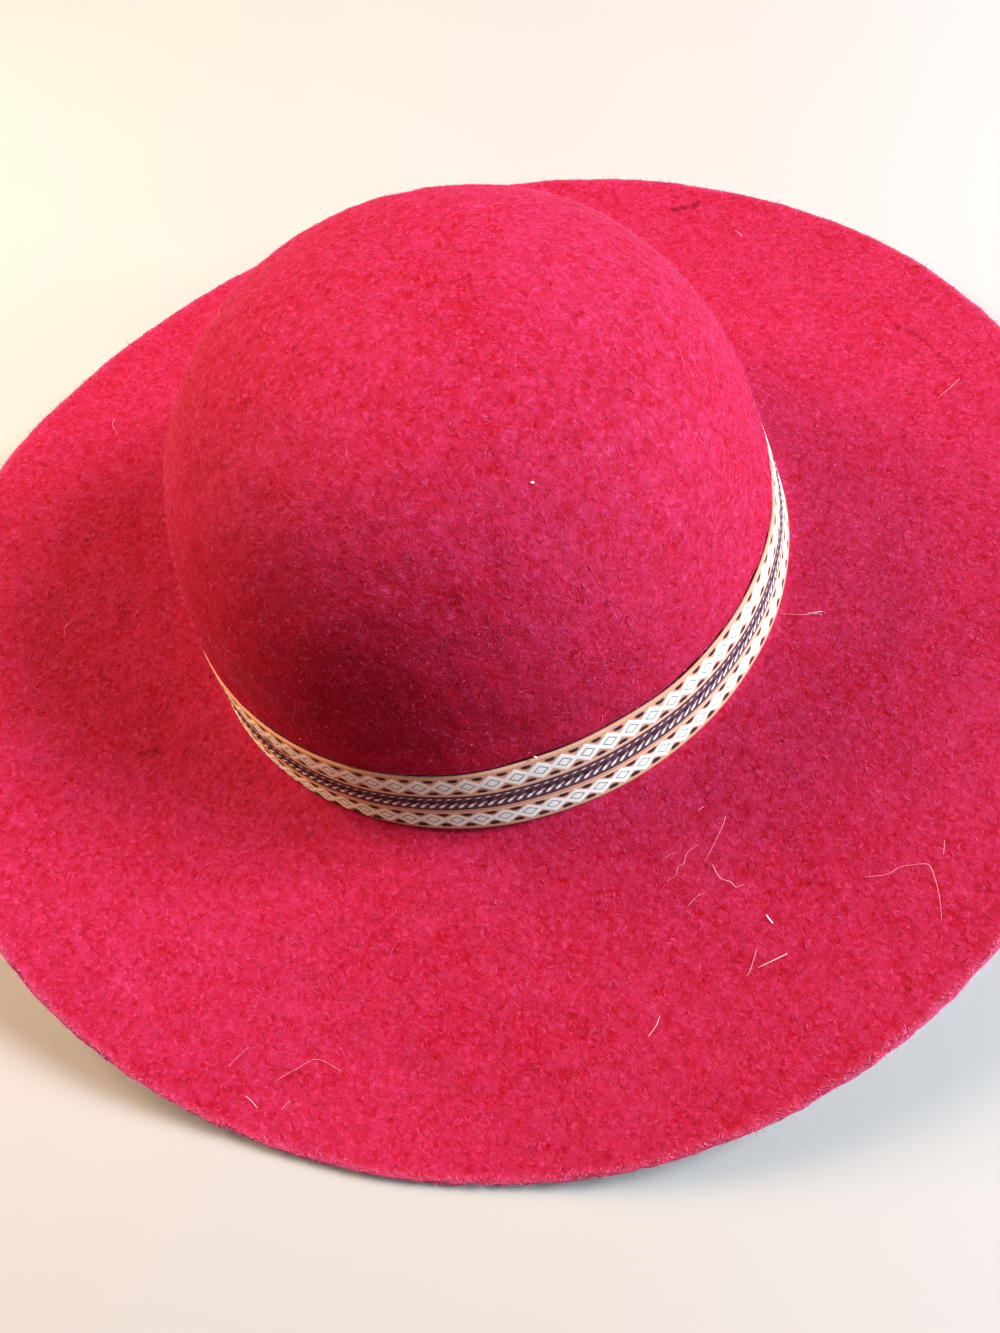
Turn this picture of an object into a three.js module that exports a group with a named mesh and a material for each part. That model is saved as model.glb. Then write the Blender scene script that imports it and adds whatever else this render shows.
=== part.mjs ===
// Wide-brimmed felt hat with a round crown and a woven hatband, millimetres, +Z up.
// -Y is the front of the head opening, and the hat rests on z = 0 by the low parts of its brim.
import * as THREE from "three";

// Felt
const FELT = 2.5; // thickness of the felt
const CROWN_HEIGHT = 106.6; // from the root of the crown to its top
const HALF_LENGTH = 95.6; // crown's root, half of it from front to back, outside the felt
const HALF_WIDTH = 90.8; // the same, from side to side
const TAPER = 0.18; // share of the root's size that the wall leans in by over the crown's height
const DOME = { height: 3.55, radius: 2.82 }; // powers of the dome's outline, higher is squarer
const ROUNDING = 0.32; // how far the oval turns to a circle between the root and the top
const LEAN = { x: -0.034, y: -0.024 }; // sideways shift of the crown for each unit of height
const BEND = 4; // reach of the bend between the crown's wall and the brim

// Brim
const BRIM_WIDTH = 92.4; // along the felt, from the crown's root to the cut edge
const BRIM_RISE = 0.7; // mean height of the cut edge over the crown's root
const BRIM_DISH = 8; // how much the brim sags between root and edge, four times its depth halfway
const BRIM_WAVES = [
  { count: 1, height: 7.0, peakAngle: -144 },
  { count: 2, height: 12.1, peakAngle: -140 },
  { count: 3, height: 6.7, peakAngle: -119 },
  { count: 4, height: 2.4, peakAngle: 75 },
];

// How the hat sits
const TILT = { angle: 2.15, axisAngle: -121.7 }; // the crown tips a little over the drooping side
const ROOT_HEIGHT = 13.6; // crown's root over the surface, before the brim's low parts flatten

// Hatband
const BAND = { bottom: 1.7, top: 27.5, thickness: 1.0, gap: 0.3, flare: 0.7 };

// Facets
const AROUND = 72;
const DOME_ROWS = 13;
const BAND_ROWS = 4;
const BEND_ROWS = 3;
const BRIM_ROWS = 8;

const radians = THREE.MathUtils.degToRad;
const tilt = new THREE.Matrix4().makeRotationAxis(
  new THREE.Vector3(Math.cos(radians(TILT.axisAngle)), Math.sin(radians(TILT.axisAngle)), 0),
  radians(TILT.angle),
);

// Size of the crown at a share of its height, as a share of its root.
function crownSize(share) {
  const dome = Math.pow(1 - Math.pow(share, DOME.height), 1 / DOME.radius);
  return (1 - TAPER * share) * dome;
}

// Point of the crown's outer face at an angle and a height over its root.
function crownPoint(angle, height) {
  const share = height / CROWN_HEIGHT;
  const size = crownSize(share);
  const halfWidth = HALF_WIDTH + (HALF_LENGTH - HALF_WIDTH) * ROUNDING * share;
  return new THREE.Vector3(
    halfWidth * size * Math.cos(angle) + LEAN.x * height,
    HALF_LENGTH * size * Math.sin(angle) + LEAN.y * height,
    height,
  );
}

// Height of the brim's cut edge over the crown's root.
function edgeHeight(angle) {
  return BRIM_WAVES.reduce(
    (sum, w) => sum + w.height * Math.cos(w.count * (angle - radians(w.peakAngle))),
    BRIM_RISE,
  );
}

// Point of the brim's upper face, at a share of the way from the crown's root to the cut edge.
function brimPoint(angle, share) {
  const rise = edgeHeight(angle);
  const reach = Math.sqrt(BRIM_WIDTH ** 2 - rise ** 2);
  const out = new THREE.Vector3(
    Math.cos(angle) / HALF_WIDTH,
    Math.sin(angle) / HALF_LENGTH,
    0,
  ).normalize();
  const point = crownPoint(angle, 0).addScaledVector(out, reach * share);
  point.z = rise * share - BRIM_DISH * share * (1 - share);
  return point;
}

// Point of the bend that joins the wall to the brim, a parabola between the two.
function bendPoint(angle, share) {
  const wall = crownPoint(angle, BEND);
  const corner = crownPoint(angle, 0);
  const brim = brimPoint(angle, BEND / BRIM_WIDTH);
  return new THREE.QuadraticBezierCurve3(wall, corner, brim).getPoint(share);
}

// The upper face's outline from just below the crown's top to the cut edge, as functions of angle.
function profileRows() {
  const rows = [];
  const domeFoot = Math.asin(Math.sqrt(BAND.top / CROWN_HEIGHT));
  for (let i = 1; i <= DOME_ROWS; i++) {
    const turn = Math.PI / 2 + (domeFoot - Math.PI / 2) * (i / DOME_ROWS);
    const height = CROWN_HEIGHT * Math.sin(turn) ** 2;
    rows.push((angle) => crownPoint(angle, height));
  }
  bandHeights()
    .slice(1)
    .filter((height) => height > BEND)
    .forEach((height) => rows.push((angle) => crownPoint(angle, height)));
  for (let i = 0; i <= BEND_ROWS; i++) {
    rows.push((angle) => bendPoint(angle, i / BEND_ROWS));
  }
  const first = BEND / BRIM_WIDTH;
  for (let i = 1; i <= BRIM_ROWS; i++) {
    const share = first + (1 - first) * (i / BRIM_ROWS);
    rows.push((angle) => brimPoint(angle, share));
  }
  return rows;
}

// Heights of the hatband's rows over the crown's root, from its upper edge to its lower one.
function bandHeights() {
  const heights = [];
  for (let i = 0; i < BAND_ROWS; i++) {
    heights.push(BAND.top + (BEND - BAND.top) * (i / (BAND_ROWS - 1)));
  }
  return [...heights, BAND.bottom];
}

// Takes a point from the hat's own axes to where the hat rests.
function settle(point) {
  return point.applyMatrix4(tilt).add(new THREE.Vector3(0, 0, ROOT_HEIGHT));
}

// One ring of settled points per row. The brim's low parts lie flat on the surface.
function feltRings() {
  return profileRows().map((row) =>
    Array.from({ length: AROUND }, (_, i) => {
      const point = settle(row((2 * Math.PI * i) / AROUND));
      point.z = Math.max(point.z, FELT);
      return point;
    }),
  );
}

// Outward normals of the rings, from the points on either side along and across them.
function ringNormals(rings, top) {
  return rings.map((ring, r) =>
    ring.map((_, i) => {
      const above = r > 0 ? rings[r - 1][i] : top;
      const below = rings[Math.min(r + 1, rings.length - 1)][i];
      const before = ring[(i + AROUND - 1) % AROUND];
      const after = ring[(i + 1) % AROUND];
      const down = below.clone().sub(above);
      const along = after.clone().sub(before);
      return down.cross(along).normalize();
    }),
  );
}

// A closed mesh from a list of points and faces, with a material of its own.
function solid(name, points, faces, look) {
  const geometry = new THREE.BufferGeometry();
  geometry.setAttribute(
    "position",
    new THREE.Float32BufferAttribute(points.flatMap((p) => p.toArray()), 3),
  );
  geometry.setIndex(faces.flat());
  geometry.computeVertexNormals();
  const mesh = new THREE.Mesh(geometry, new THREE.MeshStandardMaterial(look));
  mesh.name = name;
  return mesh;
}

// Triangles between two neighbouring rings whose points start at a and at b.
function strip(a, b) {
  const faces = [];
  for (let i = 0; i < AROUND; i++) {
    const j = (i + 1) % AROUND;
    faces.push([a + i, b + i, b + j], [a + i, b + j, a + j]);
  }
  return faces;
}

// Triangles between the point at the top and the ring that starts at a.
function cap(top, a) {
  return Array.from({ length: AROUND }, (_, i) => [top, a + i, a + ((i + 1) % AROUND)]);
}

// Crown and brim in one piece of felt: an upper face, an inner face and the cut edge between them.
function feltBody() {
  const top = settle(crownPoint(0, CROWN_HEIGHT));
  const rings = feltRings();
  const normals = ringNormals(rings, top);
  const inner = rings.map((ring, r) =>
    ring.map((point, i) => {
      const under = point.clone().addScaledVector(normals[r][i], -FELT);
      under.z = point.z === FELT ? 0 : Math.max(under.z, 0);
      return under;
    }),
  );
  const innerTop = top.clone().add(new THREE.Vector3(0, 0, -FELT));
  const points = [top, ...rings.flat(), innerTop, ...inner.flat()];
  const innerStart = 1 + rings.length * AROUND;
  const outerRing = (r) => 1 + r * AROUND;
  const innerRing = (r) => innerStart + 1 + r * AROUND;
  const faces = [...cap(0, outerRing(0))];
  const innerFaces = [...cap(innerStart, innerRing(0))];
  for (let r = 1; r < rings.length; r++) {
    faces.push(...strip(outerRing(r - 1), outerRing(r)));
    innerFaces.push(...strip(innerRing(r - 1), innerRing(r)));
  }
  const last = rings.length - 1;
  faces.push(...innerFaces.map(([a, b, c]) => [a, c, b]));
  faces.push(...strip(outerRing(last), innerRing(last)));
  return solid("felt_body", points, faces, {
    color: 0xd02848,
    roughness: 0.95,
    metalness: 0,
  });
}

// Woven band round the foot of the crown, a flat ring that follows the felt with a small gap.
function hatband() {
  const heights = bandHeights();
  const last = heights.length - 1;
  const ringAt = (height, standOff) =>
    Array.from({ length: AROUND }, (_, i) => {
      const angle = (2 * Math.PI * i) / AROUND;
      const out = new THREE.Vector3(
        Math.cos(angle) / HALF_WIDTH,
        Math.sin(angle) / HALF_LENGTH,
        0,
      ).normalize();
      return settle(crownPoint(angle, height).addScaledVector(out, standOff));
    });
  const inside = (k) => BAND.gap + (k === last ? BAND.flare : 0);
  const innerRings = heights.map((height, k) => ringAt(height, inside(k)));
  const outerRings = heights.map((height, k) => ringAt(height, inside(k) + BAND.thickness));
  const loop = [...outerRings, ...innerRings.reverse()];
  const faces = loop.flatMap((_, k) => strip(k * AROUND, ((k + 1) % loop.length) * AROUND));
  return solid("hatband", loop.flat(), faces, {
    color: 0xc9a585,
    roughness: 0.8,
    metalness: 0,
  });
}

const hat = new THREE.Group();
hat.add(feltBody(), hatband());

// The origin is under the middle of the hat's box.
const box = new THREE.Box3().setFromObject(hat);
const middle = box.getCenter(new THREE.Vector3());
hat.position.set(-middle.x, -middle.y, 0);

export default hat;
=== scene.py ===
"""Wide-brimmed felt hat with a round crown and a woven hatband.

Shapes are worked out in millimetres, in the hat's own axes, then settled onto the floor and turned to metres.
"""

import math

import bpy
import numpy as np
from mathutils import Matrix, Vector


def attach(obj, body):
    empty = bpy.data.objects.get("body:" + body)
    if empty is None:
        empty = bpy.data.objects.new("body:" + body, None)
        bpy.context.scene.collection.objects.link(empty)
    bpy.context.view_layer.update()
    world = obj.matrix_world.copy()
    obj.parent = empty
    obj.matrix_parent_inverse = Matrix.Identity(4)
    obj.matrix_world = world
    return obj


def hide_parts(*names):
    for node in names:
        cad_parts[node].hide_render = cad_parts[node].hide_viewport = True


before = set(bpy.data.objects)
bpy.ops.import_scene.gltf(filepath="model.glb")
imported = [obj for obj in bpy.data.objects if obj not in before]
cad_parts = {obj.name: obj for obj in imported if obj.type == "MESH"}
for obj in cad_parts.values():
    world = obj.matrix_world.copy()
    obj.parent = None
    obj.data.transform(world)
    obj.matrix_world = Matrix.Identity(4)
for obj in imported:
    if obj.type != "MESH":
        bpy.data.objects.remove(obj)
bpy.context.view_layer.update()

# ---------------------------------------------------------------- sizes of the hat, in millimetres
FELT = 2.5
CROWN_HEIGHT = 106.6
HALF_LENGTH, HALF_WIDTH = 95.6, 90.8
TAPER, ROUNDING = 0.18, 0.32
DOME_HEIGHT_POWER, DOME_RADIUS_POWER = 3.55, 2.82
LEAN = (-0.034, -0.024)
BEND = 4.0
BRIM_WIDTH, BRIM_RISE, BRIM_DISH = 92.4, 0.7, 8.0
BRIM_WAVES = ((1, 7.0, -144), (2, 12.1, -140), (3, 6.7, -119), (4, 2.4, 75))
TILT, TILT_AXIS = math.radians(2.15), math.radians(-121.7)
ROOT_HEIGHT = 13.6
BAND_BOTTOM, BAND_TOP = 1.7, 27.5

# Points of the felt's mesh round the hat, and its rows
AROUND = 384
CROWN_STEPS, BEND_ROWS, BRIM_ROWS = 86, 6, 66
RIBBON_EDGE_HEIGHTS = np.linspace(26.2, 29.4, 9)  # more rows of the crown, at the ribbon's upper edge
OUTLINE_POINTS = 4001
TOP_HOLE = 1.2  # the first row's distance from the crown's top, closed by one cap
SHADED_FRONT = (-76, 44)  # middle and half width, in degrees, of the crown's shaded front, with painted shade and finer fibres
SHADED_TOP, SHADED_FADE = 108, 34  # where it ends over the floor, and the height over which it fades
TOUCH = 1.5  # the brim's low parts flatten softly within this height of where they touch
BULGE, BULGE_HEIGHT, BULGE_REACH = 0.9, 31.5, 4.0  # of the felt over the ribbon
TUCK, TUCK_HEIGHT, TUCK_REACH = 0.7, 27.9, 0.3  # of the felt behind the ribbon
CAP_RISE = 0.02  # of the caps' middles over the rows that they close
UNDER_CLEARANCE = 0.02  # of the under face from the floor, where it doesn't touch


def unit(vectors):
    return vectors / np.linalg.norm(vectors, axis=-1, keepdims=True)


def crown(angle, height):
    """Outer face of the crown at an angle and a height over its root."""
    share = np.clip(height / CROWN_HEIGHT, 0, 1)
    size = (1 - TAPER * share) * (1 - share**DOME_HEIGHT_POWER) ** (1 / DOME_RADIUS_POWER)
    half_width = HALF_WIDTH + (HALF_LENGTH - HALF_WIDTH) * ROUNDING * share
    return np.stack(
        [
            half_width * size * np.cos(angle) + LEAN[0] * height,
            HALF_LENGTH * size * np.sin(angle) + LEAN[1] * height,
            height + 0 * angle,
        ],
        -1,
    )


def outward(angle):
    """Level direction away from the crown at an angle."""
    return unit(np.stack([np.cos(angle) / HALF_WIDTH, np.sin(angle) / HALF_LENGTH, 0 * angle], -1))


def brim(angle, share):
    """Upper face of the brim, at a share of the way from the crown's root to the cut edge."""
    rise = BRIM_RISE + sum(h * np.cos(n * (angle - math.radians(p))) for n, h, p in BRIM_WAVES)
    reach = np.sqrt(BRIM_WIDTH**2 - rise**2)
    point = crown(angle, 0 * angle) + outward(angle) * (reach * share)[..., None]
    point[..., 2] = rise * share - BRIM_DISH * share * (1 - share)
    return point


def near(angle, middle, half):
    """1 about an angle in degrees round the hat, a third at the half width on either side, 0 beyond it."""
    return np.exp(-((((np.degrees(angle) - middle + 180) % 360 - 180) / half) ** 4))


def pinch(angle, height):
    """The crown is drawn in a little at two places behind the ribbon's upper edge."""
    turn = np.degrees(angle) % 360
    size = 0.9 * np.exp(-(((turn - 336) / 15) ** 4)) + 1.1 * np.exp(-(((turn - 55) / 19) ** 4))
    return -size * np.exp(-(((height - 29) / 13) ** 2))


def settle(point):
    """Takes points from the hat's own axes to where the hat rests."""
    axis = np.array([math.cos(TILT_AXIS), math.sin(TILT_AXIS), 0])
    turned = (
        point * math.cos(TILT)
        + np.cross(axis, point) * math.sin(TILT)
        + (point @ axis)[..., None] * axis * (1 - math.cos(TILT))
    )
    return turned + [0, 0, ROOT_HEIGHT]


def field(points, length, seed, count=28):
    """Smooth chance height, about -1 to 1, that changes over that length: a sum of waves."""
    rng = np.random.default_rng(seed)
    way = unit(rng.normal(size=(count, 3)))
    way *= 2 * math.pi / (length * rng.uniform(0.7, 1.5, (count, 1)))
    return np.sin(points @ way.T + rng.uniform(0, 2 * math.pi, count)).sum(-1) / math.sqrt(count)


def grid_normals(grid):
    """Unit normals of a grid of rows round the hat, pointing up and out."""
    down = np.gradient(grid, axis=0)
    along = np.roll(grid, -1, 1) - np.roll(grid, 1, 1)
    return unit(np.cross(down, along))


def make_mesh(name, points, *blocks):
    """A smooth piece from points in millimetres and blocks of faces, a block for each number of corners."""
    mesh = bpy.data.meshes.new(name)
    mesh.vertices.add(len(points))
    mesh.vertices.foreach_set("co", (np.asarray(points) * 0.001).astype(np.float32).ravel())
    blocks = [np.atleast_2d(b) for b in blocks]
    sizes = np.concatenate([np.full(len(b), b.shape[1]) for b in blocks])
    mesh.loops.add(int(sizes.sum()))
    corners = np.concatenate([b.ravel() for b in blocks])
    mesh.loops.foreach_set("vertex_index", corners.astype(np.int32))
    mesh.polygons.add(len(sizes))
    starts = np.cumsum(sizes) - sizes
    mesh.polygons.foreach_set("loop_start", starts.astype(np.int32))
    mesh.polygons.foreach_set("use_smooth", np.ones(len(sizes), bool))
    mesh.update(calc_edges=True)
    piece = bpy.data.objects.new(name, mesh)
    bpy.context.scene.collection.objects.link(piece)
    return piece


def give_map(piece, name, uv):
    """A UV map from one pair of numbers for each corner."""
    layer = piece.data.uv_layers.new(name=name)
    layer.uv.foreach_set("vector", uv.astype(np.float32).ravel())


def corners_of(piece):
    """The vertex at each corner of each face."""
    found = np.zeros(len(piece.data.loops), np.int32)
    piece.data.loops.foreach_get("vertex_index", found)
    return found


def point_numbers(piece, name, values):
    """A number for each point of a piece, which its material reads by name."""
    piece.data.attributes.new(name, "FLOAT", "POINT").data.foreach_set("value", values.astype(np.float32))


def ring_faces(rows, columns):
    """Quads between the rows of a grid whose columns close round."""
    row = np.arange(rows - 1)[:, None] * columns
    column = np.arange(columns)[None, :]
    after = (column + 1) % columns
    below = row + columns
    return np.stack([row + column, below + column, below + after, row + after], -1).reshape(-1, 4)


# ---------------------------------------------------------------- felt
angles = np.arange(AROUND) * 2 * math.pi / AROUND


def running_length(path):
    """Length along a path up to each of its points."""
    return np.concatenate([[0], np.cumsum(np.linalg.norm(np.diff(path, axis=0), axis=1))])


def even_heights():
    """Heights of the crown's rows from its top down, even along its outline but for the added ones."""
    heights = CROWN_HEIGHT * (1 - np.linspace(0, 1, OUTLINE_POINTS) ** 3)
    run = running_length(crown(0 * heights, heights))
    foot_run = np.interp(-BEND, -heights, run)
    rows = np.interp(np.linspace(TOP_HOLE, foot_run, CROWN_STEPS), run, heights)
    return np.sort(np.concatenate([rows, RIBBON_EDGE_HEIGHTS]))[::-1]


crown_heights = even_heights()
crown_rows = len(crown_heights)


def upper_face():
    """Grid of the felt's upper face, from the crown's top to the cut edge, where the hat rests."""
    rows = []
    for height in crown_heights:
        drawn_in = outward(angles) * pinch(angles, height)[:, None]
        rows.append(crown(angles, np.full(AROUND, height)) + drawn_in)
    wall, corner = crown(angles, np.full(AROUND, BEND)), crown(angles, 0 * angles)
    foot = brim(angles, np.full(AROUND, BEND / BRIM_WIDTH))
    for t in np.linspace(0, 1, BEND_ROWS + 1)[1:]:
        rows.append((1 - t) ** 2 * wall + 2 * t * (1 - t) * corner + t * t * foot)
    for share in np.linspace(BEND / BRIM_WIDTH, 1, BRIM_ROWS + 1)[1:]:
        rows.append(brim(angles, np.full(AROUND, share)))
    grid = settle(np.stack(rows))
    soft = np.clip(1 - np.abs(grid[..., 2] - FELT) / TOUCH, 0, 1) ** 2
    grid[..., 2] = np.maximum(grid[..., 2], FELT) + TOUCH / 4 * soft
    return grid


upper = upper_face()
normal = grid_normals(upper)
lying = upper[..., 2] <= FELT
under = upper - FELT * normal
under[..., 2] = np.where(lying, 0, np.maximum(under[..., 2], UNDER_CLEARANCE))

# The felt bulges a little over the hatband and is drawn in behind it.
level = np.concatenate([crown_heights, np.zeros(BEND_ROWS + BRIM_ROWS)])
press = BULGE * np.exp(-(((level - BULGE_HEIGHT) / BULGE_REACH) ** 2))
press = press - TUCK / (1 + np.exp((level - TUCK_HEIGHT) / TUCK_REACH)) * (level > 1)
uneven = (
    0.16 * field(upper, 34, 1)
    + 0.12 * field(upper, 13, 2)
    + 0.07 * field(upper, 5, 3)
    + press[:, None]
)
upper = upper + normal * uneven[..., None]
under = under - normal * np.where(lying, 0, 0.15 * field(under, 9, 4))[..., None]
under[..., 2] = np.where(lying, 0, np.maximum(under[..., 2], UNDER_CLEARANCE))

# Cut edge, a little rounded and rough: share of the way down it, and how far it stands out there.
EDGE_ROWS = ((0.05, 0.16), (0.22, 0.34), (0.5, 0.42), (0.78, 0.34), (0.95, 0.16))
top_edge, low_edge = upper[-1], under[-1]
edge_out = outward(angles)
edge = []
for share, proud in EDGE_ROWS:
    level_ring = top_edge + (low_edge - top_edge) * share
    rough = 0.22 * field(level_ring, 2.5, 5) + 0.14 * field(level_ring, 7, 6)
    edge.append(level_ring + edge_out * (proud + rough)[:, None])

# The under face has every other row, but all of them near the cut edge.
under_rows = [under[k] for k in range(len(upper)) if k % 2 == 0 or k > len(upper) - 4]
rings = [*upper, *edge, *reversed(under_rows)]
tops = [[*first.mean(0)[:2], first[:, 2].mean() + CAP_RISE] for first in (upper[0], under_rows[0])]
points = np.concatenate([np.stack(rings).reshape(-1, 3), tops])
quads = ring_faces(len(rings), AROUND)
last = (len(rings) - 1) * AROUND
column = np.arange(AROUND)
after = (column + 1) % AROUND
caps = np.concatenate(
    [
        np.stack([column * 0 + len(points) - 2, column, after], -1),
        np.stack([column * 0 + len(points) - 1, last + after, last + column], -1),
    ]
)

# The origin is under the middle of the felt's box.
least, greatest = points.min(0), points.max(0)
shift = np.array([-(least[0] + greatest[0]) / 2, -(least[1] + greatest[1]) / 2, 0])

felt = make_mesh("felt_hat", points + shift, quads, caps)
# The cut edge is painted paler all round: a painted sheen where its fuzz catches the light.
painted_edge_sheen = np.zeros(len(points))
for row, value in enumerate((0.2, 0.7, 1.0, 1.0, 0.9, 0.7, 0.5), len(upper) - 2):
    painted_edge_sheen[row * AROUND : (row + 1) * AROUND] = value
point_numbers(felt, "painted_edge_sheen", painted_edge_sheen)
# Painted shade: the lower part of the crown's front, which lies in shade, is painted a deeper red, and its
# nap is made smoother.
wall = upper[:crown_rows]
front = near(np.arctan2(wall[..., 1], wall[..., 0]), *SHADED_FRONT)
front = front * np.clip((SHADED_TOP - wall[..., 2]) / SHADED_FADE, 0, 1)
painted_shade = np.zeros(len(points))
painted_shade[: front.size] = front.ravel()
point_numbers(felt, "painted_shade", painted_shade)
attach(felt, "root")
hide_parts("felt_body")

# ---------------------------------------------------------------- fibres of the felt
FIBRE_CLEARANCE = 0.12  # of the fibres from the floor
ROOTED, BRISTLE_ROOTED = 0.06, 0.05  # depth of their roots in the felt
THIRDS = (0, 2.0944, 4.1888)  # corners of a fibre's triangle, in radians


def on_grid(grid, normals, rows, columns):
    """Points and normals at fractional rows and columns of a grid that closes round."""
    r0, c0 = np.floor(rows).astype(int), np.floor(columns).astype(int)
    r1, c1 = np.minimum(r0 + 1, len(grid) - 1), (c0 + 1) % grid.shape[1]
    u, v = (rows - r0)[:, None], (columns - c0)[:, None]
    c0 = c0 % grid.shape[1]

    def blend(a):
        upper_row = (1 - v) * a[r0, c0] + v * a[r0, c1]
        lower_row = (1 - v) * a[r1, c0] + v * a[r1, c1]
        return (1 - u) * upper_row + u * lower_row

    return blend(grid), unit(blend(normals))


def scatter(rng, grid, first, last, count):
    """Chance places, even over the surface, between two rows of a grid."""
    tries = count * 6
    rows, columns = rng.uniform(first, last, tries), rng.uniform(0, grid.shape[1], tries)
    ring_length = np.linalg.norm(np.roll(grid, -1, 1) - grid, axis=-1).mean(1)
    row_length = np.linalg.norm(np.diff(grid, axis=0, append=grid[-1:] + 1), axis=-1).mean(1)
    area = (ring_length * row_length)[np.floor(rows).astype(int)]
    kept = rng.uniform(0, area.max(), len(rows)) < area
    return rows[kept][:count], columns[kept][:count]


def fibres_along(name, path, ref, radius, seed):
    """Closed thin fibres: a triangle round every place on the path but the last, which is the tip.

    The radius is one number for each fibre and level, and each fibre has a shade of its own."""
    count, levels = len(path[0]), len(path) - 1
    path = [np.maximum(place, [-np.inf, -np.inf, FIBRE_CLEARANCE]) for place in path]
    points = []
    for k in range(levels):
        way = unit(path[k + 1] - path[max(k - 1, 0)])
        side = unit(np.cross(way, ref))
        other = np.cross(way, side)
        for turn in THIRDS:
            points.append(path[k] + (side * math.cos(turn) + other * math.sin(turn)) * radius[k][:, None])
    points.append(path[-1])

    def corner(k, i):
        return np.arange(count) + (3 * k + i % 3) * count

    faces = [[corner(0, 0), corner(0, 2), corner(0, 1)]]
    for k in range(levels - 1):
        for i in range(3):
            faces.append([corner(k, i), corner(k, i + 1), corner(k + 1, i + 1)])
            faces.append([corner(k, i), corner(k + 1, i + 1), corner(k + 1, i)])
    faces += [[corner(levels - 1, i), corner(levels - 1, i + 1), corner(levels, 0)] for i in range(3)]
    faces = np.concatenate([np.stack(face, -1) for face in faces])
    piece = make_mesh(name, np.concatenate(points) + shift, faces)
    shade = np.random.default_rng(seed).uniform(0.03, 0.97, count)
    across = np.concatenate([shade + d for _ in range(levels) for d in (-0.01, 0.01, 0)] + [shade])
    along = np.repeat([0.96 * k / levels + d for k in range(levels) for d in (0, 0, 0.02)] + [0.98], count)
    give_map(piece, "OFBake", np.stack([across, along], -1)[corners_of(piece)])
    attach(piece, "root")
    return piece


def matted(name, grid, normals, first, last, count, rise, length, thick, seed, finer=0.0):
    """Curled fibres over part of the felt, lying mostly along it, and finer by a share at its front."""
    rng = np.random.default_rng(seed)
    foot, away = on_grid(grid, normals, *scatter(rng, grid, first, last, count))
    count = len(foot)
    ahead = unit(np.cross(away, rng.normal(size=away.shape)))
    side = np.cross(away, ahead)
    bend = rng.uniform(0.5, 2.6, count) * rng.choice([-1, 1], count)
    long = length * rng.gamma(5, 0.2, count)
    lift = long * rng.uniform(*rise, count)
    path = [foot - away * ROOTED]
    for t, high in ((0.5, 0.8), (1.0, 1.0)):
        x, y = np.sin(bend * t) / bend * long, (1 - np.cos(bend * t)) / bend * long
        path.append(foot + ahead * x[:, None] + side * y[:, None] + away * (lift * high)[:, None])
    radius = rng.uniform(*thick, count)
    radius = radius * (1 - finer * near(np.arctan2(foot[:, 1], foot[:, 0]), *SHADED_FRONT))
    return fibres_along(name, path, away, [radius, radius * 0.8], seed + 1)


def bristly(name, foot, away, spread, length, thick, seed):
    """Short straight fibres that stand out of an edge or a fold."""
    rng = np.random.default_rng(seed)
    way = unit(away + rng.normal(scale=spread, size=away.shape))
    way[:, 2] = np.where(foot[:, 2] < 1.0, np.abs(way[:, 2]), way[:, 2])
    long = length * rng.gamma(3, 0.33, len(foot))
    return fibres_along(
        name,
        [foot - way * BRISTLE_ROOTED, foot + way * long[:, None]],
        unit(np.cross(way, rng.normal(size=way.shape))),
        [rng.uniform(*thick, len(foot))],
        seed + 1,
    )


upper_out = grid_normals(upper)
under_out = -grid_normals(under)
# Rows of the grids between which the fibres lie
band_row = int(np.searchsorted(-crown_heights, -BAND_TOP - 0.5))
brim_row = crown_rows + BEND_ROWS - 2
edge_row, rim_row = len(upper) - 1.7, len(upper) - 1.01
crown_part = (upper, upper_out, 0, band_row)
brim_part = (upper, upper_out, brim_row, rim_row)
under_part = (under, under_out, brim_row, rim_row)
rim_part = (upper, upper_out, edge_row, rim_row)

# Each call: how many, least and greatest rise for their length, length, least and greatest radius, seed
THIN, THICK, MIDDLING = (0.022, 0.05), (0.08, 0.17), (0.05, 0.11)
FINER = 0.6
fibres = [
    matted("crown_fibres", *crown_part, 15000, (0.01, 0.2), 2.0, THIN, 20, FINER),
    matted("brim_fibres", *brim_part, 17000, (0.05, 0.4), 2.0, THIN, 22),
    matted("under_fibres", *under_part, 6000, (0.02, 0.2), 1.8, THIN, 24),
]
tufts = [
    matted("crown_tufts", *crown_part, 1300, (0.03, 0.18), 1.3, THICK, 26, FINER),
    matted("brim_tufts", *brim_part, 2000, (0.05, 0.3), 1.3, THICK, 28),
]
places_rng = np.random.default_rng(30)
EDGE_BRISTLES, CROWN_BRISTLES = 20000, 8000
edge_grid = np.stack([upper[-2], top_edge, *edge, low_edge])
edge_ways = np.concatenate([upper_out[-2:], np.broadcast_to(edge_out, (6, AROUND, 3))])
edge_ways = unit(edge_ways + edge_out * 0.5)
edge_rows = places_rng.uniform(0.6, 6.9, EDGE_BRISTLES)
edge_columns = places_rng.uniform(0, AROUND, EDGE_BRISTLES)
edge_spots = on_grid(edge_grid, edge_ways, edge_rows, edge_columns)
fuzz = [
    bristly("edge_fuzz", *edge_spots, 0.7, 1.0, (0.018, 0.04), 31),
    matted("edge_tufts", *rim_part, 3200, (0.1, 0.7), 1.2, MIDDLING, 34),
]
crown_places = scatter(places_rng, upper, 0, band_row, CROWN_BRISTLES)
crown_spots = on_grid(upper, upper_out, *crown_places)
fibres.append(bristly("crown_fuzz", *crown_spots, 0.6, 0.65, (0.013, 0.026), 33))


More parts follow.
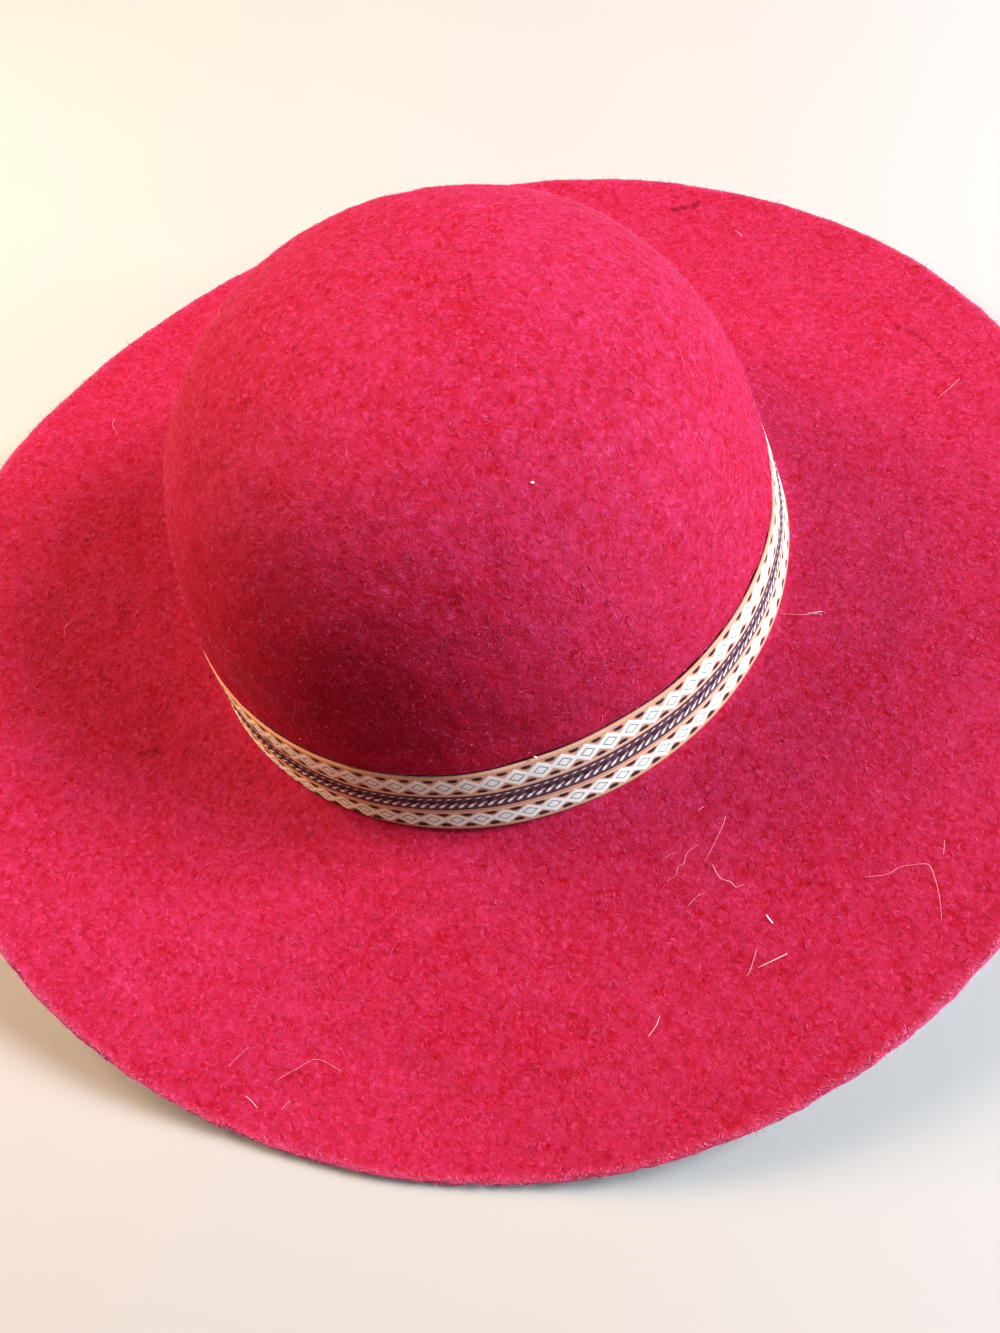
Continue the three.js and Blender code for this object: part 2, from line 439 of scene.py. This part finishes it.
def walk(angle, share, steps):
    """Corners of a path over the brim, from its start and the heading and length of each step.

    A heading is in degrees, 0 away from the crown and 90 anticlockwise round it."""
    corners = [(math.radians(angle), share)]
    for heading, length in steps:
        a, s = corners[-1]
        x, y = brim(np.array([a]), np.array([s]))[0][:2]
        round_crown = math.sin(math.radians(heading)) * length
        out_from_it = math.cos(math.radians(heading)) * length
        corners.append((a + round_crown / math.hypot(x, y), s + out_from_it / BRIM_WIDTH))
    return np.array(corners)


def rounded(path, times=3):
    """The path with its corners cut some times over."""
    for _ in range(times):
        before, after = path[:-1], path[1:]
        cut = np.stack([0.8 * before + 0.2 * after, 0.2 * before + 0.8 * after], 1).reshape(-1, path.shape[1])
        path = np.concatenate([path[:1], cut, path[-1:]])
    return path


HAIR_RISE = 0.3  # of the hairs' middles over the felt


def tube(path, width, sides=5):
    """Points and faces of a closed thin tube along a path, narrower at its ends."""
    way = unit(np.gradient(path, axis=0))
    side = unit(np.cross(way, [0.3, 0.2, 1.0]))
    other = np.cross(way, side)
    around = np.arange(sides) * 2 * math.pi / sides
    radius = width * 0.36 * np.interp(np.linspace(0, 1, len(path)), [0, 0.1, 0.7, 1], [0.4, 1, 1, 0.35])
    rings = path[:, None] + radius[:, None, None] * (
        side[:, None] * np.cos(around)[None, :, None] + other[:, None] * np.sin(around)[None, :, None]
    )
    quads = ring_faces(len(path), sides)[:, ::-1]
    ends = np.stack([np.arange(sides)[::-1], np.arange(sides) + (len(path) - 1) * sides])
    return rings.reshape(-1, 3), quads, ends


HAIRS = (  # brim angle, share of the way out, width, whiteness, lift, then heading and length of each step
    (-15.2, 0.278, 0.13, 0.25, 0.5, ((-87, 4.2), (-36, 2.8), (-97, 2.2), (-32, 2.1), (-91, 3.2))),
    (-10, 0.259, 0.13, 0.3, 0.9, ((-52, 2), (-62, 4.2), (-63, 7.4))),
    (-15.2, 0.349, 0.15, 0.4, 0.6, ((-13, 2.6), (0, 2), (41, 2.6), (0, 2), (79, 2.5))),
    (-19.8, 0.262, 0.12, 0.2, 0.3, ((100, 1.6), (71, 2.2))),
    (-12.5, 0.197, 0.16, 0.4, 0.3, ((91, 2),)),
    (-4, 0.646, 0.13, 0.3, 0.8, ((48, 5.5), (79, 3.5), (47, 6.8), (-22, 1.9), (-39, 5.8), (-48, 7.0))),
    (3.5, 0.743, 0.12, 0.2, 0.3, ((-64, 3.9),)),
    (-66.5, 0.832, 0.13, 0.2, 0.6, ((135, 12), (101, 2.9), (75, 5.9))),
    (-68.5, 0.9, 0.2, 0.5, 0.3, ((80, 2.2), (60, 2.6))),
    (-71, 0.846, 0.12, 0.1, 0.4, ((157, 7.4),)),
    (-65, 0.90, 0.12, 0.3, 0.3, ((153, 3.4),)),
    (23.2, 0.016, 0.12, 0.4, 0.9, ((8, 6.1), (25, 5.5))),
    (24.6, 0.10, 0.2, 0.7, 0.5, ((20, 3.4), (32, 1.4))),
    (24.9, 0.125, 0.12, 0.6, 0.4, ((5, 2.2),)),
    (-14.5, 0.665, 0.2, 0.8, 0.5, ((-98, 8.2),)),
    (-18.9, 0.655, 0.12, 0.5, 0.7, ((80, 0.6), (128, 7.1))),
    (-28, 0.649, 0.15, 0.7, 0.4, ((-40, 2.4), (-58, 3.8))),
    (-20.5, 0.414, 0.12, 0.2, 0.4, ((108, 4.2), (67, 1.9))),
    (-13.8, 0.549, 0.42, 0.9, 0.2, ((-8, 1.3), (6, 1.4))),
    (63.2, 0.757, 0.13, 0.3, 0.7, ((-150, 6), (-160, 5.1))),
    (101.5, 0.795, 0.16, 0.5, 0.4, ((-118, 4.9),)),
    (158, 0.55, 0.12, 0.2, 0.5, ((70, 4), (40, 4), (95, 4))),
    (-160, 0.7, 0.12, 0.3, 0.5, ((-30, 4), (-60, 4))),
    (-128, 0.5, 0.12, 0.2, 0.5, ((30, 3), (75, 4), (110, 2))),
)
CRUMBS = (  # crown angle, height over the crown's root, length, width
    (-12.5, 92.3, 1.0, 0.75),
    (-31.8, 28.6, 1.2, 1.0),
    (-74, 33, 0.6, 0.5),
)


def lint():
    """Stray pale hairs that lie on the brim, crumbs on the crown, and a curl that stands on its top."""
    threads = []
    for angle, share, width, whiteness, lift, steps in HAIRS:
        path = rounded(walk(angle, share, steps))
        places = settle(brim(path[:, 0], path[:, 1]))
        arch = lift * np.sin(math.pi * np.linspace(0, 1, len(path))) ** 2
        places[:, 2] = np.maximum(places[:, 2], FELT) + HAIR_RISE + arch
        threads.append((places, width, whiteness))
    for angle, height, length, width in CRUMBS:
        a = np.array([math.radians(angle)])
        centre = settle(crown(a, np.array([height])) + outward(a) * 0.3)[0]
        centre[2] += 0.35
        t = np.linspace(-0.5, 0.5, 6)[:, None]
        threads.append((centre + t * length * np.array([[0.8, 0.4, 0.3]]), width, 1.0))
    top = settle(crown(np.full(1, math.radians(125.7)), np.full(1, 97.4)))[0]
    t = np.linspace(0, 1, 24)[:, None]
    winding = np.concatenate([np.sin(7 * t), 1 - np.cos(7 * t), 0 * t], 1)
    curl = top + [-0.2, 0.4, 0.3] + t * [-0.8, 1.2, 2.6] + 1.1 * winding
    threads.append((curl, 0.13, 0.6))
    parts, shades, count = [], [], 0
    for path, width, whiteness in threads:
        p, quads, ends = tube(path, width)
        parts.append((p, quads + count, ends + count))
        shades.append(np.full(len(p), whiteness * 0.96 + 0.02))
        count += len(p)
    points, quads, ends = (np.concatenate(blocks) for blocks in zip(*parts))
    piece = make_mesh("stray_hairs", points + shift, quads, ends)
    shade = np.concatenate(shades)
    corners = corners_of(piece)
    grain = np.random.default_rng(41).uniform(0, 1, count)
    give_map(piece, "OFBake", np.stack([shade, 0.05 + 0.9 * grain], -1)[corners])
    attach(piece, "root")
    return piece


hairs = lint()

# ---------------------------------------------------------------- hatband
REPEATS = 85  # diamonds in one turn round the crown
PER_REPEAT = 16  # columns of the mesh to a diamond
FACE_ROWS = 50  # rows of the mesh across the outer face
RIBBON_THICKNESS, RIBBON_GAP = 0.75, 0.12
RIBBON_EDGE = 0.12  # width over which the ribbon's edges round
LAP_ANGLE = math.radians(153.5)  # where the ribbon's ends lap
LAP = 14.0  # length of the lap
LAP_RISE = 0.95  # of the upper end over the lower one
BAND_WIDE = BAND_TOP - BAND_BOTTOM
CHAIN = 2.5  # twists of the middle stripe for each diamond
TUCKED = 0.8  # part of the woven width that is hidden under the lower edge

ring_angle = LAP_ANGLE + np.linspace(0, 2 * math.pi, OUTLINE_POINTS)
middle_height = np.full(OUTLINE_POINTS, (BAND_TOP + BAND_BOTTOM) / 2)
ring_run = running_length(crown(ring_angle, middle_height) + outward(ring_angle))
TURN = ring_run[-1]  # length of one turn
PITCH = TURN / REPEATS


class Arrays:
    """The few functions that the ribbon's pattern is written with, on numbers."""

    @staticmethod
    def size(a):
        return np.abs(a)

    @staticmethod
    def part(a):
        return a - np.floor(a)

    @staticmethod
    def step(a, edge, soft):
        """1 where a is under the edge, 0 where it is over, and a soft change between."""
        return np.clip((edge - a) / soft + 0.5, 0, 1)


def pattern(kit, along, across):
    """The ribbon's figures at a place in millimetres along it and up from its lower edge, each 0 to 1."""
    middle = across - (BAND_WIDE - TUCKED) / 2
    cell = kit.part(along / PITCH + 0.25) * PITCH - PITCH / 2
    gap = kit.part(along / PITCH + 0.75) * PITCH - PITCH / 2
    upper_half = kit.step(middle * -1, 0.0, 1.0)
    y = 8.35 - kit.size(middle)
    high = upper_half * 0.7 + 3.1
    white = kit.step(kit.size(cell) / 4.4 + kit.size(y) / high, 1.0, 0.06)
    line = kit.step(kit.size(kit.size(cell) / 2.05 + kit.size(y) / (high * 0.47) - 1), 0.13, 0.12)
    inward = high - kit.size(y) - 0.55
    notch = (gap / 1.5) * (gap / 1.5) + inward * inward
    lozenge = kit.step(notch, 1.0, 0.8) * kit.step(inward * -1, 0.45, 0.35) * (1 - white)
    pale = kit.step(kit.size(y - high - 0.35), 0.22, 0.2)
    stripe = kit.step(kit.size(middle), 3.3, 0.12)
    rim = kit.step(kit.size(kit.size(middle) - 3.15), 0.22, 0.15)
    link = PITCH / CHAIN

    def ovals(shift, height, lean, half_long, half_high, soft=0.4, every=1):
        up = (middle - height) / half_high
        pace = link * every
        x = (kit.part((along - shift - middle * lean) / pace) * pace - pace / 2) / half_long
        return kit.step(x * x + up * up, 1.0, soft) * stripe

    return {
        "white": white,
        "line": line,
        "lozenge": lozenge,
        "pale": pale,
        "stripe": stripe,
        "rim": rim,
        "bright": ovals(0.0, -1.25, 0.7, 0.66, 0.78),
        "tail": ovals(0.75, -0.35, 1.1, 0.5, 0.75, 0.8),
        "dash": ovals(1.55, 2.35, 1.3, 0.65, 0.3, 0.8),
        "bead": ovals(1.6, 0.75, 0.5, 0.85, 1.05),
        "knot": ovals(0.2, 0.55, 0.6, 1.3, 1.15, 0.5, 2),
    }


def splay(angle, across):
    """How far the ribbon's lower edge stands out from the wall, over the bend of the brim."""
    return (0.35 + 0.55 * near(angle, -22, 52)) * np.clip(1 - across / 9, 0, 1) ** 2


def woven_place(angle, across):
    """Place in the woven width, whose lower part is tucked deeper into the brim's fold about one angle."""
    deep = 3.8 * near(angle, 225, 62)
    return deep + across * (1 - deep / BAND_WIDE)


def ribbon():
    """Places along the ribbon and in its woven width, and its points, as rows that close round it."""
    length = TURN + LAP
    along = np.linspace(0, length, int(length / PITCH * PER_REPEAT))
    angle = np.interp(along % TURN, ring_run, ring_angle)
    angle = np.where(along > TURN, angle + 2 * math.pi, angle)
    # Height on the ribbon and share of its thickness, over the outer face and its edges, then the inner face.
    face = RIBBON_EDGE + np.linspace(0, 1, FACE_ROWS) * (BAND_WIDE - 2 * RIBBON_EDGE)
    loop = [(0.0, 0.35), *[(height, 1.0) for height in face], (BAND_WIDE, 0.35)]
    loop += [(BAND_WIDE - RIBBON_EDGE, 0.0), (BAND_WIDE * 0.5, 0.0), (RIBBON_EDGE, 0.0)]
    across, thickness = np.array(loop).T
    along, across = np.meshgrid(along, across)
    angle = np.broadcast_to(angle, along.shape)
    woven = woven_place(angle, across)
    figures = pattern(Arrays, along, woven)
    relief = (
        0.12 * figures["white"] * (1 - 0.6 * figures["line"])
        + 0.06 * figures["lozenge"]
        + 0.10 * figures["stripe"]
        + 0.14 * figures["bright"]
        + 0.12 * figures["bead"]
        + 0.06 * figures["dash"]
        - 0.10 * figures["rim"]
        + 0.08 * np.exp(-((np.minimum(across, BAND_WIDE - across) / 0.5) ** 2))
    )
    lap = np.clip((along - TURN + 6) / 7, 0, 1)
    lap = lap * lap * (3 - 2 * lap) * LAP_RISE
    loose = 0.10 * field(np.stack([along, across * 2, 0 * along], -1), 30, 9)
    height = BAND_BOTTOM + across
    stand = RIBBON_GAP + lap + (RIBBON_THICKNESS + loose + relief) * thickness[:, None]
    stand = stand + splay(angle, across) + pinch(angle, height)
    return along, woven, settle(crown(angle, height) + outward(angle) * stand[..., None])


along_band, woven_band, band_points = ribbon()
band_rows, band_columns = along_band.shape
start = np.arange(band_rows)[:, None] * band_columns + np.arange(band_columns - 1)
next_start = np.roll(start, -1, axis=0)
band_quads = np.stack([start, start + 1, next_start + 1, next_start], -1)
first_end = np.arange(band_rows) * band_columns
band_ends = np.stack([first_end, first_end[::-1] + band_columns - 1])
band = make_mesh("hatband_ribbon", band_points.reshape(-1, 3) + shift, band_quads.reshape(-1, 4), band_ends)
places = np.stack([along_band.ravel(), woven_band.ravel()], -1)[corners_of(band)]
give_map(band, "Ribbon", places * 0.001)
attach(band, "root")
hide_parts("hatband")


# ---------------------------------------------------------------- materials
MIX_INPUTS, MIX_OUTPUT = (0, 6, 7), 2  # sockets of a Mix node that mixes colours


class Nodes:
    """Builds the nodes of one material, and holds the pattern's functions on its sockets."""

    def __init__(self, name):
        self.material = bpy.data.materials.new(name)
        self.material.use_nodes = True
        self.tree = self.material.node_tree
        self.shader = self.tree.nodes["Principled BSDF"]

    def add(self, kind, inputs=None, **settings):
        node = self.tree.nodes.new("ShaderNode" + kind)
        for key, value in settings.items():
            setattr(node, key, value)
        for key, value in (inputs or {}).items():
            self.feed(node.inputs[key], value)
        return node

    def feed(self, socket, value):
        if isinstance(value, Number):
            value = value.socket
        if isinstance(value, bpy.types.NodeSocket):
            self.tree.links.new(value, socket)
        else:
            socket.default_value = value

    def math(self, operation, *values, clamp=False):
        node = self.add("Math", dict(enumerate(values)), operation=operation, use_clamp=clamp)
        return Number(self, node.outputs[0])

    def vector(self, operation, a, b=None, **inputs):
        """A vector operation, a number if it gives one."""
        node = self.add("VectorMath", operation=operation)
        self.feed(node.inputs[0], a)
        if b is not None:
            self.feed(node.inputs[1], b)
        for key, value in inputs.items():
            self.feed(node.inputs[key], value)
        single = operation in ("LENGTH", "DOT_PRODUCT")
        return Number(self, node.outputs["Value"]) if single else node.outputs["Vector"]

    def most(self, a, b):
        return self.math("MAXIMUM", a, b)

    def size(self, a):
        return self.math("ABSOLUTE", a)

    def part(self, a):
        return self.math("FRACT", a)

    def step(self, a, edge, soft):
        return self.math("MULTIPLY_ADD", a, -1 / soft, edge / soft + 0.5, clamp=True)

    def mix(self, factor, a, b, blend="MIX"):
        node = self.add("Mix", data_type="RGBA", blend_type=blend)
        for socket, value in zip(MIX_INPUTS, (factor, a, b)):
            self.feed(node.inputs[socket], value)
        return node.outputs[MIX_OUTPUT]

    def noise(self, vector, scale, detail, roughness=0.55):
        """Smooth chance numbers from 0 to 1, with the same as colours beside them."""
        inputs = {"Vector": vector, "Scale": scale, "Detail": detail, "Roughness": roughness}
        node = self.add("TexNoise", inputs)
        value = Number(self, node.outputs[0])
        value.colour = node.outputs[1]
        return value

    def split(self, vector):
        """The first two coordinates of a vector."""
        outputs = self.add("SeparateXYZ", {"Vector": vector}).outputs
        return Number(self, outputs[0]), Number(self, outputs[1])

    def stored(self, name):
        """A number that the piece stores for each point."""
        return Number(self, self.add("Attribute", attribute_name=name).outputs["Fac"])

    def surface(self, colour, constants):
        """Gives the shader its colour, and the values that are the same all over."""
        self.feed(self.shader.inputs["Base Color"], colour)
        for key, value in constants.items():
            self.shader.inputs[key].default_value = value

    def relief(self, height, strength, distance):
        """Gives the shader fine relief."""
        bump = self.add("Bump", {"Strength": strength, "Distance": distance, "Height": height})
        self.feed(self.shader.inputs["Normal"], bump.outputs[0])


class Number:
    """A socket that sums can be written with."""

    def __init__(self, nodes, socket):
        self.nodes, self.socket = nodes, socket

    def __add__(self, other):
        return self.nodes.math("ADD", self, other)

    def __sub__(self, other):
        return self.nodes.math("SUBTRACT", self, other)

    def __rsub__(self, other):
        return self.nodes.math("SUBTRACT", other, self)

    def __mul__(self, other):
        return self.nodes.math("MULTIPLY", self, other)

    def __truediv__(self, other):
        return self.nodes.math("DIVIDE", self, other)

    __radd__, __rmul__ = __add__, __mul__


MARKS = (  # small scars of the brim: angle and share at each end, half their width in mm, and strength
    (110.6, 0.848, 109.8, 0.868, 1.9, 0.85),
    (109.8, 0.868, 108.4, 0.885, 1.5, 0.7),
    (108.4, 0.885, 108.2, 0.903, 2.0, 0.85),
    (74.0, 0.724, 74.0, 0.730, 1.5, 0.6),
    (73.0, 0.746, 70.5, 0.757, 0.9, 0.4),
    (70.5, 0.757, 64.5, 0.773, 0.8, 0.32),
    (-104.2, 0.357, -103.8, 0.303, 1.6, 0.5),
    (-102.2, 0.410, -102.2, 0.420, 1.0, 0.45),
    (-90.2, 0.195, -90.0, 0.199, 1.0, 0.4),
    (-91.5, 0.274, -91.5, 0.278, 0.9, 0.4),
)


def brim_place(angle, share):
    """A place on the brim, in metres."""
    place = settle(brim(np.array([math.radians(angle)]), np.array([share])))[0]
    return Vector((place + shift) * 0.001)


def felt_material(name):
    """Matted wool: clumps and pits a millimetre or two across, with curled fibres over them."""
    n = Nodes(name)
    place = n.add("TexCoord").outputs["Object"]
    swirl = n.vector("SUBTRACT", n.noise(place, 650, 0).colour, (0.5, 0.5, 0.5))
    bent = n.vector("ADD", place, n.vector("SCALE", swirl, Scale=0.0022))
    blotch = n.noise(place, 40, 1)
    clump = n.noise(place, 230, 1)
    nap = n.noise(bent, 560, 2, 0.62)
    fine = n.noise(bent, 1500, 1, 0.6)
    strands = [n.noise(bent, scale, 0) for scale in (430, 610)]
    curl = n.most(n.most(*(1 - n.size(strand - 0.5) * 22 for strand in strands)), 0.0)
    tone = (blotch - 0.5) * 0.3 + (clump - 0.5) * 0.5 + (nap - 0.5) * 1.9
    tone = tone + (fine - 0.5) * 1.0 + (curl - 0.2) * 0.15
    # The crown's shaded front: calmer tone and relief, and painted shade in its colour.
    painted_shade = n.stored("painted_shade")
    shade = n.math("MULTIPLY_ADD", tone * (1 - painted_shade * 0.4), 0.8, 0.5, clamp=True)
    colour = n.mix(shade, (0.225, 0.0001, 0.001, 1), (0.335, 0.010, 0.047, 1))
    bloom = (blotch - 0.5) * 0.7 + (clump - 0.5) * 1.2 + (nap - 0.5) * 1.4
    colour = n.mix(n.math("ADD", bloom, 0.45, clamp=True), colour, (0.002, 0.0055, 0.016, 1), "ADD")
    # Painted shade: the crown's shaded front is made a deeper, purer red.
    colour = n.mix(painted_shade, colour, (0.97, 0.3, 0.4, 1), "MULTIPLY")
    wisp = n.step(1 - n.noise(bent, 760, 1), 0.36, 0.08)
    colour = n.mix(wisp * 0.4, colour, (0.40, 0.035, 0.11, 1))
    colour = n.mix(n.step(strands[0], 0.27, 0.06) * 0.35, colour, (0.14, 0.0, 0.003, 1))
    # Painted sheen: the cut edge is made paler pink.
    colour = n.mix(n.stored("painted_edge_sheen") * nap, colour, (0.50, 0.07, 0.16, 1))
    scar = None
    for angle, share, angle2, share2, half, strength in MARKS:
        start = brim_place(angle, share)
        run = brim_place(angle2, share2) - start
        offset = n.vector("SUBTRACT", place, start)
        reach = n.math("DIVIDE", n.vector("DOT_PRODUCT", offset, run), run.length_squared, clamp=True)
        away = n.vector("LENGTH", n.vector("SUBTRACT", offset, n.vector("SCALE", run, Scale=reach)))
        mark = n.step(away * 1000 + (nap - 0.5) * 1.6, half * 0.6, half) * strength
        scar = mark if scar is None else n.most(scar, mark)
    colour = n.mix(scar, colour, (0.07, 0.0, 0.002, 1))
    constants = {
        "Roughness": 0.8,
        "Specular IOR Level": 0.05,
        "Sheen Weight": 0.04,
        "Sheen Roughness": 0.3,
        "Sheen Tint": (1.0, 0.42, 0.92, 1),
    }
    n.surface(colour, constants)
    n.relief((clump * 0.25 + nap * 0.8 + fine * 0.3) * (1 - painted_shade * 0.5), 0.7, 0.0006)
    return n.material


LIT_MIDDLE, LIT_HALF, LIT_SOFT = 175, 75, 55  # where warm light is painted on the ribbon, along it
RIB_LENGTH, PICK_LENGTH = 0.5, 0.42  # of the weave's ribs along the ribbon, and of its threads across


def ribbon_material():
    """The woven pattern's colours over the ribs and threads of the weave."""
    n = Nodes("woven_ribbon")
    uv = n.add("UVMap", uv_map="Ribbon").outputs[0]
    wander = n.noise(uv, 900, 1)
    along, across = (place * 1000 for place in n.split(uv))
    along = along + (wander - 0.5) * 0.35
    across = across + (n.noise(uv, 700, 1) - 0.5) * 0.3
    f = pattern(n, along, across)
    rib = n.math("SINE", along * (2 * math.pi / RIB_LENGTH) + across * 2.4) * 0.5 + 0.5
    pick = n.math("SINE", across * (2 * math.pi / PICK_LENGTH)) * 0.5 + 0.5
    slub = n.noise(uv, 260, 3)
    tan = n.mix(rib * 0.3 + slub * 0.5, (0.40, 0.185, 0.11, 1), (0.58, 0.34, 0.25, 1))
    white = n.mix(slub, (0.56, 0.55, 0.51, 1), (0.72, 0.715, 0.69, 1))
    dark = n.mix(slub, (0.010, 0.003, 0.006, 1), (0.045, 0.014, 0.024, 1))
    plum = n.mix(slub, (0.035, 0.012, 0.020, 1), (0.13, 0.060, 0.085, 1))
    colour = n.mix(f["pale"] * 0.7, tan, (0.64, 0.48, 0.42, 1))
    colour = n.mix(f["white"], colour, white)
    colour = n.mix(f["line"] * 0.9, colour, (0.08, 0.11, 0.095, 1))
    colour = n.mix(f["lozenge"], colour, dark)
    colour = n.mix(f["stripe"], colour, plum)
    colour = n.mix(f["rim"], colour, dark)
    colour = n.mix(f["dash"] * 0.6, colour, (0.78, 0.66, 0.64, 1))
    colour = n.mix(f["bead"] * 0.7, colour, dark)
    colour = n.mix(f["knot"], colour, dark)
    colour = n.mix(f["tail"] * 0.6, colour, (0.60, 0.48, 0.50, 1))
    colour = n.mix(f["bright"], colour, white)
    # Painted light: the ribbon's stretch at the crown's front is painted lighter and creamier, where warm
    # light falls on it.
    painted_light = n.step(n.size(along - LIT_MIDDLE), LIT_HALF, LIT_SOFT)
    colour = n.mix(painted_light * 0.75, colour, (1.45, 1.30, 1.02, 1), "MULTIPLY")
    n.surface(colour, {"Roughness": 0.7, "Specular IOR Level": 0.15})
    height = rib * (1 - f["white"]) * (1 - f["stripe"]) * 0.4 + pick * 0.3 + slub * 0.5 - f["line"] * 0.3
    n.relief(height, 0.5, 0.00015)
    return n.material


def fibre_material(name, dark, light, tip):
    """Loose wool: each fibre has its own shade, paler towards its tip."""
    n = Nodes(name)
    shade, along = n.split(n.add("UVMap", uv_map="OFBake").outputs[0])
    constants = {
        "Roughness": 0.8,
        "Specular IOR Level": 0.02,
        "Subsurface Weight": 0.8,
        "Subsurface Radius": (1.0, 0.3, 0.5),
        "Subsurface Scale": 0.0004,
    }
    n.surface(n.mix(along * 0.6, n.mix(shade, dark, light), tip), constants)
    return n.material


LOOSE_WOOL = (  # material, colours of the darkest and lightest fibres and of the tips, and the pieces
    ("wool_fibre", ((0.19, 0.0004, 0.003, 1), (0.33, 0.010, 0.036, 1), (0.38, 0.025, 0.060, 1)), fibres),
    ("wool_fuzz", ((0.28, 0.006, 0.03, 1), (0.46, 0.04, 0.11, 1), (0.62, 0.14, 0.26, 1)), fuzz),
    ("pale_hair", ((0.55, 0.07, 0.13, 1), (0.95, 0.85, 0.80, 1), (0.80, 0.32, 0.36, 1)), [hairs]),
    ("wool_tuft", ((0.30, 0.007, 0.027, 1), (0.39, 0.026, 0.066, 1), (0.44, 0.048, 0.10, 1)), tufts),
)
felt.data.materials.append(felt_material("wool_felt"))
for name, colours, pieces in LOOSE_WOOL:
    wool = fibre_material(name, *colours)
    for piece in pieces:
        piece.data.materials.append(wool)
band.data.materials.append(ribbon_material())

# ---------------------------------------------------------------- floor, light and camera
FLOOR_RADIUS, FLOOR_CORNERS = 12.0, 96  # metres
FLOOR_DROP = 0.0003  # metres of the floor under the hat
floor_mesh = bpy.data.meshes.new("floor")
turns = np.arange(FLOOR_CORNERS) * 2 * math.pi / FLOOR_CORNERS
floor_rim = [(FLOOR_RADIUS * math.cos(t), FLOOR_RADIUS * math.sin(t), 0) for t in turns]
floor_mesh.from_pydata(floor_rim, [], [tuple(range(FLOOR_CORNERS))])
floor = bpy.data.objects.new("floor", floor_mesh)
floor.location.z = -FLOOR_DROP
bpy.context.scene.collection.objects.link(floor)
floor_nodes = Nodes("pale_floor")
patches = floor_nodes.noise(floor_nodes.add("TexCoord").outputs["Object"], 3, 3)
floor_colour = floor_nodes.mix(patches, (0.31, 0.297, 0.285, 1), (0.335, 0.322, 0.31, 1))
floor_nodes.surface(floor_colour, {"Roughness": 0.7})
floor.data.materials.append(floor_nodes.material)

crown_root = Vector((*(shift[:2] * 0.001), ROOT_HEIGHT * 0.001))
LIGHTS_FACE = Vector((0, 0, 0.04))  # the place over the crown's root that the lights face


def area_light(name, azimuth, elevation, distance, size, power, colour):
    """A soft square light that faces the crown, placed by its angle about +Z, height angle and distance."""
    data = bpy.data.lights.new(name, "AREA")
    data.energy, data.size, data.color = power, size, colour
    light = bpy.data.objects.new(name, data)
    a, e = math.radians(azimuth), math.radians(elevation)
    way = Vector((math.cos(a) * math.cos(e), math.sin(a) * math.cos(e), math.sin(e)))
    light.location = crown_root + LIGHTS_FACE + way * distance
    light.rotation_euler = way.to_track_quat("Z", "Y").to_euler()
    bpy.context.scene.collection.objects.link(light)


area_light("key", 54, 36, 1.5, 0.5, 62, (0.82, 0.91, 1.0))
area_light("low", 28, 14, 1.5, 0.4, 22, (0.82, 0.91, 1.0))
area_light("warm", 202, 40, 0.9, 0.5, 20, (1.0, 0.70, 0.48))

world = bpy.data.worlds.new("soft_grey")
world.use_nodes = True
background = world.node_tree.nodes["Background"]
background.inputs["Color"].default_value = (1.0, 0.97, 0.95, 1)
background.inputs["Strength"].default_value = 0.08
bpy.context.scene.world = world
bpy.context.scene.view_settings.view_transform = "Standard"

# The camera stands where the photograph was taken from, placed from the crown's root.
right = Vector((0.70204, 0.69304, -0.16382))
up = Vector((-0.58312, 0.69148, 0.42641))
forward = Vector((-0.40880, 0.20383, -0.88957))
camera_data = bpy.data.cameras.new("camera")
camera_data.lens, camera_data.sensor_width = 27.0, 36.0
camera = bpy.data.objects.new("camera", camera_data)
turn = Matrix((right, up, -forward)).transposed().to_4x4()
camera_place = crown_root + Vector((0.157659, -0.090881, 0.274288))
camera.matrix_world = Matrix.Translation(camera_place) @ turn
bpy.context.scene.collection.objects.link(camera)
bpy.context.scene.camera = camera
